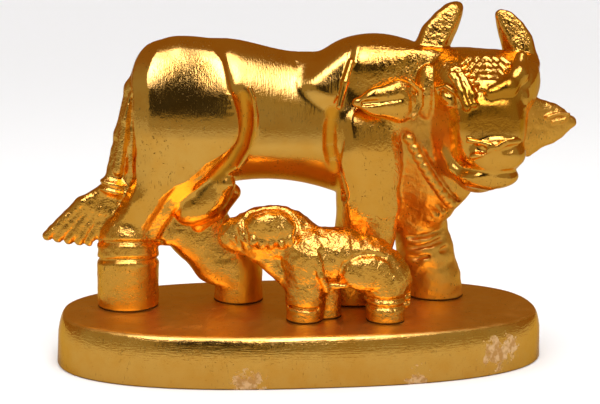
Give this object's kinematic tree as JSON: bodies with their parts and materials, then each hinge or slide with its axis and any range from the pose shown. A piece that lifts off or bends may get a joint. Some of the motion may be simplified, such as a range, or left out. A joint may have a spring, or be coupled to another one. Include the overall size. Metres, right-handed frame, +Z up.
{
  "type": "cow and calf statue",
  "caption": "Small gilt statue of a standing cow with her calf under her, on a low oval plinth.",
  "frame": {"origin": "centre of the plinth's underside", "axes": "+X the way the cow faces, -Y her near side, where the calf stands, +Z up"},
  "size_m": [0.0766, 0.032, 0.0511],
  "materials": {
    "plinth_gilding": "polished gilding, brushed and scratched, rubbed through to a pale ground in two places at the lower edge",
    "cow_gilding": "bright gilding, mirror smooth on the flanks and face, crinkled in the carving",
    "calf_gilding": "bright gilding, crinkled and pitted"
  },
  "bodies": {
    "root": {"plinth": "plinth_gilding", "cow": "cow_gilding", "calf": "calf_gilding"}
  },
  "joints": []
}
